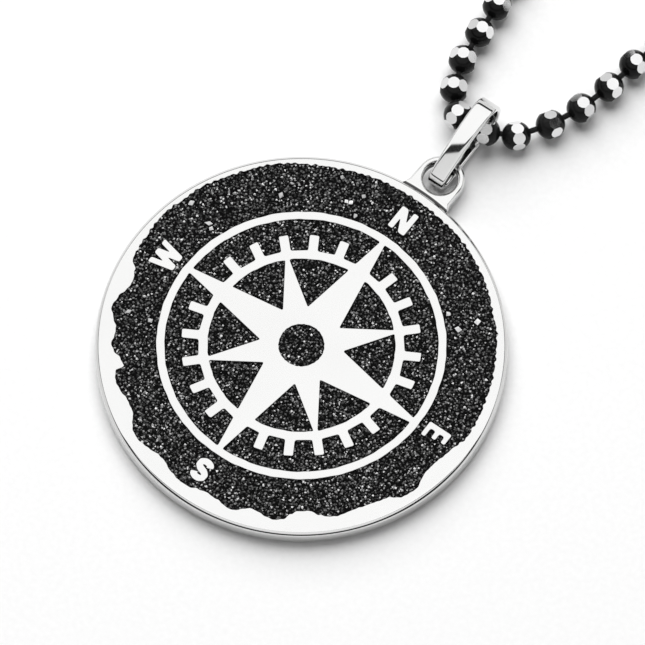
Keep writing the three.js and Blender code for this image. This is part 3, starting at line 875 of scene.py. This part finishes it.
def sand_piece(name, outlines, sides, light_grains=()):
    random = np.random.default_rng(sum(map(ord, name)))
    shell = Shell()
    tops = [shell.loop(outline, DISC_TOP - RESIN_DROP) for outline in outlines]
    bottoms = [shell.loop(outline, RECESS_FLOOR + RESIN_GAP) for outline in outlines]
    for pair in zip(tops, bottoms):
        shell.walls(pair)
    shell.cover(tops)
    shell.cover(bottoms)
    spots = grain_spots(outlines, sides, random)
    size = GRAIN_SMALLEST + (GRAIN_LARGEST - GRAIN_SMALLEST) * random.random(len(spots)) ** 1.5
    tones = grain_tones(random, len(spots))
    for bearing, radius, light_size, light_tone in light_grains:
        place = polar(radius, bearing)
        clear = np.linalg.norm(spots - place, axis=1) > light_size + LIGHT_GRAIN_ROOM
        spots = np.concatenate([spots[clear], [place]])
        size = np.append(size[clear], light_size)
        tones = np.append(tones[clear], light_tone)
    start, count = len(shell.points), len(spots)
    corners = grain_points(random, spots, size).reshape(-1, 3)
    grain_faces = GRAIN_FACES[None] + start + 6 * np.arange(count)[:, None, None]
    faces = [*shell.faces, *map(tuple, grain_faces.reshape(-1, 3).tolist())]
    points = np.concatenate([np.array(shell.points), corners])
    mesh = new_mesh(name, points, faces, [False] * len(faces))
    point_tones = np.concatenate([np.full(start, RESIN_TONE), np.repeat(tones, 6)])
    mesh.attributes.new("tone", "FLOAT", "POINT").data.foreach_set("value", point_tones)
    new_piece(name + "_look", mesh, [sand], "sand_resin", name)
    return count


grain_count = sand_piece("sand_field", field_outlines, FIELD_SIDES, LIGHT_GRAINS)
for name, outline in pockets.items():
    grain_count += sand_piece(name, [outline], [1])
print(grain_count, "grains of sand")

# %% [markdown]
# The bail is a strap bent into a closed drop, with a small bend in the eye and a large one round the
# chain. Its back leaf is straight and its front leaf is a long arch that touches both bends. The path
# is worked out from the side first.

# %% The bail's path
BEAD_RADIUS = 1.1
BAIL_LENGTH = 7.5
BAIL_EYE_WIDTH = 1.35
BAIL_STRAP = 0.38
BAIL_LEAF_RADIUS = 12
BAIL_SLIP = 0.1
BAIL_FLOOR_GAP = 0.03
BAIL_EYE_GAP = 0.18
BAIL_BEAD_GAP = 0.155
BAIL_HOLE_GAP = 0.45
BAIL_EYE_END = (EYE_TOP + BAIL_EYE_GAP + BAIL_STRAP - BAIL_FLOOR_GAP) / 2
BAIL_CHAIN_END = BEAD_RADIUS + BAIL_BEAD_GAP + BAIL_STRAP
HOLE_REACH = math.sqrt(EYE_HOLE**2 - (BAIL_EYE_WIDTH / 2 + BAIL_SLIP) ** 2)
BAIL_START = EYE_CENTRE + BAIL_HOLE_GAP - HOLE_REACH


def arc_places(centre, radius, start, end, steps=24):
    """Places on an arc of the side view, with their outward directions."""
    angles = np.linspace(start, end, steps + 1)
    outwards = [np.array([math.cos(angle), math.sin(angle)]) for angle in angles]
    return [(centre + radius * outward, outward) for outward in outwards]


def bail_path():
    """The strap's middle in its side view, from the eye's bend round to the end of the front leaf."""
    half = BAIL_STRAP / 2
    small, large, leaf = BAIL_EYE_END - half, BAIL_CHAIN_END - half, BAIL_LEAF_RADIUS - half
    small_at = np.array([BAIL_EYE_END, BAIL_FLOOR_GAP + BAIL_EYE_END])
    large_at = np.array([BAIL_LENGTH - BAIL_CHAIN_END, BAIL_FLOOR_GAP + BAIL_CHAIN_END])
    # The front leaf's arch touches both bends from outside, so its centre is on two circles round theirs
    apart = large_at - small_at
    distance = np.linalg.norm(apart)
    near, far = leaf - small, leaf - large
    along = (distance**2 + near**2 - far**2) / (2 * distance)
    below = math.sqrt(near**2 - along**2)
    way = apart / distance
    leaf_at = small_at + way * along + np.array([way[1], -way[0]]) * below
    from_small = math.atan2(*(small_at - leaf_at)[::-1])
    from_large = math.atan2(*(large_at - leaf_at)[::-1])
    bottom = 1.5 * math.pi
    rows = arc_places(small_at, small, from_small, bottom)
    rows += arc_places(large_at, large, bottom, from_large + 2 * math.pi)
    rows += arc_places(leaf_at, leaf, from_large, from_small)[1:-1]
    places, outwards = zip(*rows)
    return np.array(places), np.array(outwards)


bail_places, bail_outwards = bail_path()
print("the bail's path has", len(bail_places), "places")

# %% [markdown]
# A cross section then stands at each place of the path: flat inside, a little crowned outside and
# narrower towards the eye. The straight leaf gets more places, so that it narrows evenly.

# %% Bail
BAIL_WIDTH = 1.6
BAIL_EDGE = 0.17
BAIL_CROWN = 0.02
BAIL_TURN = 2.25
CROWN_SPAN = 0.75


def close_set(places, outwards, longest=0.35):
    """Adds places wherever two neighbours lie far apart."""
    out_places, out_outwards = [], []
    for i in range(len(places)):
        j = (i + 1) % len(places)
        count = max(1, int(np.linalg.norm(places[j] - places[i]) / longest))
        for share in np.arange(count) / count:
            out_places.append(places[i] * (1 - share) + places[j] * share)
            out_outwards.append(outwards[i] * (1 - share) + outwards[j] * share)
    return np.array(out_places), np.array(out_outwards)


def strap_section(width):
    """The cross section as (across, outwards) pairs."""
    half, thick = width / 2 - BAIL_EDGE, BAIL_STRAP / 2 - BAIL_EDGE
    section = []
    for quarter, (sx, sy) in enumerate(((1, 1), (-1, 1), (-1, -1), (1, -1))):
        for angle in np.radians(np.linspace(0, 90, 5) + 90 * quarter):
            across, outward = BAIL_EDGE * math.cos(angle), BAIL_EDGE * math.sin(angle)
            section.append((sx * half + across, sy * thick + outward))
        if quarter == 0:
            section += [(share * half, BAIL_STRAP / 2) for share in np.linspace(CROWN_SPAN, -CROWN_SPAN, 7)]
    return [(x, y + BAIL_CROWN * (1 - (2 * x / width) ** 2) * (y > 0)) for x, y in section]


def bail_mesh():
    places, outwards = close_set(bail_places, bail_outwards)
    turn = math.radians(BAIL_TURN)
    points = []
    for (along, up), (out_along, out_up) in zip(places, outwards):
        width = BAIL_EYE_WIDTH + (BAIL_WIDTH - BAIL_EYE_WIDTH) * along / BAIL_LENGTH
        for across, outward in strap_section(width):
            y = along + outward * out_along
            points.append((
                across * math.cos(turn) - y * math.sin(turn) - BAIL_SLIP,
                across * math.sin(turn) + y * math.cos(turn) + BAIL_START,
                up + outward * out_up,
            ))
    faces = skin(0, len(places), len(points) // len(places), closed=True)
    return closed_mesh("bail_strap", points, faces)


bail = new_piece("bail_strap", bail_mesh(), [bright_silver], "silver", "bail")
reach = max(v.co.y for v in bail.data.vertices) / MM
print("bail reaches", round(reach, 2), "of", round(box_mm("bail")[1][1], 2), "mm")

# %% [markdown]
# The chain follows two smooth curves through a few chosen places. A centripetal Catmull-Rom spline
# passes through its points without overshoot, and walking along it by length puts the beads down at
# even steps. Near the bail the chain is slack, so the listed steps are closer.

# %% Chain route
LINK_GAP = 0.4
LINK_RADIUS = 0.22
SEAT_SLACK = 0.55
SEAT_GAP = 0.05
SEAT_ALONG = BAIL_START + BAIL_LENGTH - BAIL_STRAP - BEAD_RADIUS - SEAT_SLACK
SEAT_LIFT = BAIL_FLOOR_GAP + BAIL_STRAP + SEAT_GAP
LOOP_REACH = 175
LOOP_WIDTH = 108
CHAIN_END = 8.146
SEAT = (-0.73, -0.08)
ROUTE = {
    -1: [(-1.95, -0.16), (-3.56, 1.48), (-4.46, 3.72), (-4.82, 6.19), (-5.09, 8.69)],
    1: [(0.48, 0), (2.32, 1.21), (3.79, 3.46), (4.8, 5.88), (5.42, 8.47), (5.78, 11.04)],
}
LOOP_SHAPE = [
    (0.17, 0.15), (0.31, 0.27), (0.56, 0.42), (0.83, 0.58), (0.99, 0.74), (0.92, 0.89), (0.6, 0.98),
]
SLACK_LINKS = {-1: [0.4, 0.6, 0.8, 0.8], 1: [0.2, 1.25, 1.1, 1.15]}


class Spline:
    """A centripetal Catmull-Rom curve that can be walked along by length."""

    def __init__(self, points):
        points = np.array(points, float)
        ends = 2 * points[0] - points[1], 2 * points[-1] - points[-2]
        self.points = np.concatenate([[ends[0]], points, [ends[1]]])
        self.share = np.linspace(0, 1, 1201)
        track = np.array([self.at(share) for share in self.share])
        steps = np.linalg.norm(np.diff(track, axis=0), axis=1)
        self.lengths = np.concatenate([[0], np.cumsum(steps)])
        self.length = self.lengths[-1]

    def at(self, share):
        spans = len(self.points) - 3
        span = min(int(share * spans), spans - 1)
        t = share * spans - span
        p0, p1, p2, p3 = self.points[span:span + 4]
        d0, d1, d2 = (math.sqrt(np.linalg.norm(b - a)) for a, b in ((p0, p1), (p1, p2), (p2, p3)))
        leave = ((p1 - p0) / d0 - (p2 - p0) / (d0 + d1) + (p2 - p1) / d1) * d1
        arrive = ((p2 - p1) / d1 - (p3 - p1) / (d1 + d2) + (p3 - p2) / d2) * d1
        square = -3 * p1 + 3 * p2 - 2 * leave - arrive
        cube = 2 * p1 - 2 * p2 + leave + arrive
        return p1 + leave * t + square * t**2 + cube * t**3

    def walk(self, station):
        share = np.interp(station, self.lengths, self.share)
        ahead = self.at(min(share + 1e-4, 1)) - self.at(max(share - 1e-4, 0))
        return self.at(share), ahead / np.linalg.norm(ahead)


def strand(side):
    """Centres and headings of the beads on one side, from the bail outwards."""
    points = [SEAT, *ROUTE[side]]
    points += [(side * x * LOOP_WIDTH / 2, y * LOOP_REACH) for x, y in LOOP_SHAPE]
    points.append((side * CHAIN_END, LOOP_REACH))
    spline = Spline([(x, y + SEAT_ALONG) for x, y in points])
    first = math.dist(points[0], points[1])
    slack = SLACK_LINKS[side]
    seen = first + sum(2 * BEAD_RADIUS + share * LINK_GAP for share in slack)
    left_over = spline.length - seen - BEAD_RADIUS - LINK_GAP
    links = round(left_over / (2 * BEAD_RADIUS + LINK_GAP))
    steps = [2 * BEAD_RADIUS + share * LINK_GAP for share in slack] + [left_over / links] * links
    stations = first + np.concatenate([[0], np.cumsum(steps)])
    beads = []
    for i, station in enumerate(stations):
        place, heading = spline.walk(station)
        lift = SEAT_LIFT if i == 0 else 0
        beads.append((Vector((*place, BEAD_RADIUS + lift)), Vector((*heading, 0))))
    return beads


strands = {side: strand(side) for side in (-1, 1)}
widest = max(abs(place.x) + BEAD_RADIUS for beads in strands.values() for place, heading in beads)
chain_high = box_mm("bead_chain")[1]
beads = sum(map(len, strands.values()))
print(beads, "beads; widest", round(widest, 2), "of", round(chain_high[0], 2), "mm")

# %% [markdown]
# Each bead is a black ball with eight facets ground round its waist, which show bright metal. Black
# plating is dark and glossy but no mirror, so fine noise makes its gloss uneven.

# %% Bead finishes
def black_plating():
    material, tree, shader, place = new_material("black_plating")
    marks = noise(tree, 700, 4, place)
    feed(tree, shader, {
        "Base Color": ramp(tree, marks, [(0.35, 0.004), (0.7, 0.012)]),
        "Roughness": ramp(tree, marks, [(0.35, 0.12), (0.7, 0.22)]),
        "Specular IOR Level": 0.13,
    })
    return material


black = black_plating()
facet_silver = silver("facet_silver", (0.79, 0.79, 0.79), (0.72, 0.72, 0.72), 0.06, 0.14, 0.05)
print("finishes:", black.name, "and", facet_silver.name)

# %% [markdown]
# A plane cuts a ball in a perfect circle, so one bead is made by slicing a ball eight times and
# closing each cut.

# %% One bead
FACETS = 8
FACET_RADIUS = 0.48
BALL_SEGMENTS = 28
BALL_RINGS = 14


def bead_shape():
    """Points, faces, and for each face whether it is a facet. The chain runs along the bead's Z axis."""
    shape = bmesh.new()
    bmesh.ops.create_uvsphere(shape, u_segments=BALL_SEGMENTS, v_segments=BALL_RINGS, radius=BEAD_RADIUS)
    reach = math.sqrt(BEAD_RADIUS**2 - FACET_RADIUS**2)
    for i in range(FACETS):
        angle = 2 * math.pi * i / FACETS
        outward = Vector((math.cos(angle), math.sin(angle), 0))
        everything = shape.verts[:] + shape.edges[:] + shape.faces[:]
        cut = bmesh.ops.bisect_plane(
            shape, geom=everything, plane_co=outward * reach, plane_no=outward, clear_outer=True)
        rim = [item for item in cut["geom_cut"] if isinstance(item, bmesh.types.BMEdge)]
        for face in bmesh.ops.contextual_create(shape, geom=rim)["faces"]:
            face.material_index = 1
    shape.normal_update()
    shape.verts.ensure_lookup_table()
    points = np.array([v.co[:] for v in shape.verts])
    faces = [[v.index for v in face.verts] for face in shape.faces]
    flat = [face.material_index == 1 for face in shape.faces]
    shape.free()
    return points, faces, flat


bead_points, bead_faces, bead_flat = bead_shape()
print("bead:", len(bead_points), "points,", sum(bead_flat), "facets")

# %% [markdown]
# The other beads are copies of its points, turned to follow the chain. Real beads swing and roll as
# they like, which shows in their facets, so those seen best are turned one by one. Wires join them all.

# %% The chain's two strands
# How each bead is swung, tipped and rolled, in degrees, from the bail outwards
BEAD_TURNS = {
    -1: [(14, -1, -3), (-6, -5, -3), (7, -9, -1), (7, -7, 10), (3, -8, 6)],
    1: [(0, -6, 12), (4, -8, -8), (3, -12, -21), (11, -8, 5), (-2, -7, 17), (2, -8, 8)],
}
TIP_ELSEWHERE = -7
ROLL_STEP = 47
WIRE_SIDES = 10


def frame_along(heading):
    """Two directions square to the heading: one level, one upwards."""
    level = heading.cross(Vector((0, 0, 1))).normalized()
    return level, level.cross(heading).normalized()


def tipped(heading, swing, tip):
    """A level heading swung to the left and tipped up by these angles."""
    swung = Matrix.Rotation(swing, 3, "Z") @ heading
    return swung * math.cos(tip) + Vector((0, 0, math.sin(tip)))


def add_wire(points, faces, start, end, radius):
    level, up = frame_along((end - start).normalized())
    first = len(points)
    for place in (start, end):
        for i in range(WIRE_SIDES):
            angle = 2 * math.pi * i / WIRE_SIDES
            points.append(place + level * radius * math.cos(angle) + up * radius * math.sin(angle))
    faces += skin(first, 2, WIRE_SIDES)
    faces.append([first + i for i in reversed(range(WIRE_SIDES))])
    faces.append([first + WIRE_SIDES + i for i in range(WIRE_SIDES)])


def add_bead(points, faces, place, heading, swing, tip, roll):
    heading = tipped(heading, math.radians(swing), math.radians(tip))
    level, up = frame_along(heading)
    across = up * math.cos(math.radians(roll)) + level * math.sin(math.radians(roll))
    over = heading.cross(across)
    first = len(points)
    points += [place + across * p[0] + over * p[1] + heading * p[2] for p in bead_points]
    faces += [[first + i for i in face] for face in bead_faces]


def chain_mesh():
    points, faces, silvered = [], [], []
    for side, beads in strands.items():
        turns = BEAD_TURNS[side]
        for number, (place, heading) in enumerate(beads):
            by_rule = (0, TIP_ELSEWHERE, ROLL_STEP * number)
            add_bead(points, faces, place, heading, *(turns[number] if number < len(turns) else by_rule))
            silvered += bead_flat
    clasp_y = LOOP_REACH + SEAT_ALONG
    left, right = ([place for place, heading in strands[side]] for side in (-1, 1))
    ends = [Vector((side * CHAIN_END, clasp_y, BEAD_RADIUS)) for side in (-1, 1)]
    places = [ends[0], *reversed(left), *right, ends[1]]
    wires = []
    for a, b in zip(places, places[1:]):
        add_wire(points, wires, a, b, LINK_RADIUS)
    smooth = [not flat for flat in silvered] + [len(face) == 4 for face in wires]
    mesh = new_mesh("faceted_beads", points, faces + wires, smooth)
    silvered += [False] * len(wires)
    mesh.polygons.foreach_set("material_index", np.array(silvered, np.int32))
    with edited(mesh) as shape:
        for edge in shape.edges:
            edge.smooth = not any(face.material_index for face in edge.link_faces)
    return mesh


chain = new_piece("faceted_beads", chain_mesh(), [black, facet_silver], "black_plate", "bead_chain")
print("chain faces", len(chain.data.polygons))

# %% [markdown]
# The clasp is a plain barrel, turned as on a lathe, with grooves near its ends and a round wire eye
# at each end. The chain's end rings hang in those eyes.

# %% Clasp and rings
clasp_low, clasp_high = box_mm("clasp")
BARREL_RADIUS = 1.7
CLASP_EYE_RADIUS = 0.95
CLASP_NECK_AT = 4.7
CLASP_EYE_AT = CLASP_NECK_AT + CLASP_EYE_RADIUS
END_RING_RADIUS = 1.3
RING_WIRE = 0.3
END_RING_LIFT = END_RING_RADIUS + RING_WIRE
END_RING_AT = CLASP_EYE_AT + math.sqrt(END_RING_RADIUS**2 - (BARREL_RADIUS - END_RING_LIFT) ** 2)
CLASP_PLACE = Vector((0, (clasp_low[1] + clasp_high[1]) / 2, BARREL_RADIUS))
# Half of the barrel, from its middle groove to its end: place along it, radius
BARREL_HALF = [
    (0.08, 1.6), (0.15, 1.7), (3.3, 1.7), (3.4, 1.55), (3.5, 1.55), (3.6, 1.7), (4, 1.69), (4.25, 1.6),
    (4.42, 1.42), (4.5, 1.2), (4.5, 0),
]
NECK_PROFILE = [(-0.5, 0), (-0.5, 0.3), (0.1, 0.3), (0.1, 0)]


def add_turned(points, faces, centre, profile, sides=48, axis="X", closed=False):
    """A body turned about an axis from (along, radius) pairs. A closed profile makes a ring."""
    first = len(points)
    for along, radius in profile:
        for i in range(sides):
            angle = 2 * math.pi * i / sides
            spot = along, radius * math.cos(angle), radius * math.sin(angle)
            points.append(centre + Vector(np.roll(spot, "XYZ".index(axis))))
    faces += skin(first, len(profile), sides, closed)


def add_ring(points, faces, centre, radius, axis):
    angles = [2 * math.pi * i / 14 for i in range(14)]
    profile = [(RING_WIRE * math.sin(a), radius + RING_WIRE * math.cos(a)) for a in angles]
    add_turned(points, faces, centre, profile, 36, axis, closed=True)


points, faces = [], []
barrel = [(-along, radius) for along, radius in reversed(BARREL_HALF)] + BARREL_HALF
add_turned(points, faces, CLASP_PLACE, barrel)
for side in (-1, 1):
    add_ring(points, faces, CLASP_PLACE + Vector((side * CLASP_EYE_AT, 0, 0)), CLASP_EYE_RADIUS, "Z")
    add_turned(points, faces, CLASP_PLACE + Vector((side * CLASP_NECK_AT, 0, 0)), NECK_PROFILE, 16)
mesh = closed_mesh("barrel_clasp", points, faces)
new_piece("barrel_clasp", mesh, [bright_silver], "silver", "clasp")

points, faces = [], []
for side in (-1, 1):
    centre = Vector((side * END_RING_AT, CLASP_PLACE.y, END_RING_LIFT))
    add_ring(points, faces, centre, END_RING_RADIUS, "Y")
mesh = closed_mesh("end_rings", points, faces)
new_piece("end_rings", mesh, [black], "black_plate", "bead_chain")
print("clasp at", [round(v, 1) for v in CLASP_PLACE])

# %% [markdown]
# The floor is matt and near white, as a photo table is, and large enough for every view.

# %% Floor
FLOOR_SIZE = 3000


def floor_material():
    material, tree, shader, place = new_material("floor")
    grain = noise(tree, 2500, 2, place)
    feed(tree, shader, {
        "Base Color": ramp(tree, grain, [(0.3, 0.9), (0.7, 0.93)]),
        "Roughness": 0.9,
        "Specular IOR Level": 0.1,
    })
    return material


half = FLOOR_SIZE / 2
corners = [(-half, -half, 0), (half, -half, 0), (half, half, 0), (-half, half, 0)]
floor = bpy.data.objects.new("floor", new_mesh("floor", corners, [(0, 1, 2, 3)]))
floor.data.materials.append(floor_material())
bpy.context.scene.collection.objects.link(floor)
print("floor", FLOOR_SIZE, "mm wide")

# %% [markdown]
# Product photos of silver are lit by large soft sources, so that the metal mirrors white. Here the
# sky is that source: white overhead and grey low down. A dark band between the two draws the fine
# lines in the metal, and a dark bar high up in front crosses the bail. For matt things the same sky is
# much dimmer, so that a lamp from the upper left can draw soft shadows.

# %% World and lamps
SKY_FOR_MIRRORS = 1.24
SKY_FOR_FLOOR = 0.3
UP = (0, 0, 1)
# The sky's shade by height, its shade towards the front, and from which height the front counts
SKY_BY_HEIGHT = [(0, 0.68), (0.35, 0.7), (0.38, 0.02), (0.53, 0.02), (0.56, 0.9), (0.66, 1)]
SKY_TO_FRONT = [(0.525, 1), (0.532, 0.02), (0.575, 0.02), (0.583, 0.7), (0.8, 0.8)]
FRONT_FROM_HEIGHT = [(0.53, 0), (0.56, 1)]
LAMP_TARGET = (0, 5, 0)


def share_along(tree, way):
    """How far the looked-up direction points this way, from -1 to 1."""
    direction = add_node(tree, "TexCoord", {}).outputs["Generated"]
    dot = add_node(tree, "VectorMath", {0: direction, 1: way}, operation="DOT_PRODUCT")
    return dot.outputs["Value"]


def sky():
    """White above, then a dark band and a grey horizon, with a dark bar high up in front."""
    world = bpy.data.worlds.new("studio")
    world.use_nodes = True
    bpy.context.scene.world = world
    tree = world.node_tree
    up = share_along(tree, UP)
    front = {"Value": share_along(tree, way_out(-90, 0)), "From Min": -1}
    to_front = add_node(tree, "MapRange", front).outputs["Result"]
    shade = add_node(tree, "Mix", {
        "Factor": ramp(tree, up, FRONT_FROM_HEIGHT),
        "A": ramp(tree, up, SKY_BY_HEIGHT),
        "B": ramp(tree, to_front, SKY_TO_FRONT),
    }, data_type="RGBA", blend_type="MULTIPLY")
    strength = add_node(tree, "MapRange", {
        "Value": add_node(tree, "LightPath", {}).outputs["Is Diffuse Ray"],
        "To Min": SKY_FOR_MIRRORS,
        "To Max": SKY_FOR_FLOOR,
    })
    feed(tree, tree.nodes["Background"], {
        "Color": shade.outputs["Result"],
        "Strength": strength.outputs["Result"],
    })


def lamp(name, azimuth, elevation, distance, size, power):
    """A square lamp over the pendant, which neither the camera nor the metal sees."""
    data = bpy.data.lights.new(name, "AREA")
    data.size = size * MM
    data.energy = power
    item = aimed(name, data, LAMP_TARGET, way_out(azimuth, elevation), distance)
    item.visible_glossy = False
    item.visible_camera = False
    return item


sky()
window = lamp("window", 98, 48, 1000, 1200, 17.5)
bpy.context.scene.view_settings.view_transform = "Standard"
print("lamp at", [round(v, 2) for v in window.location], "m")
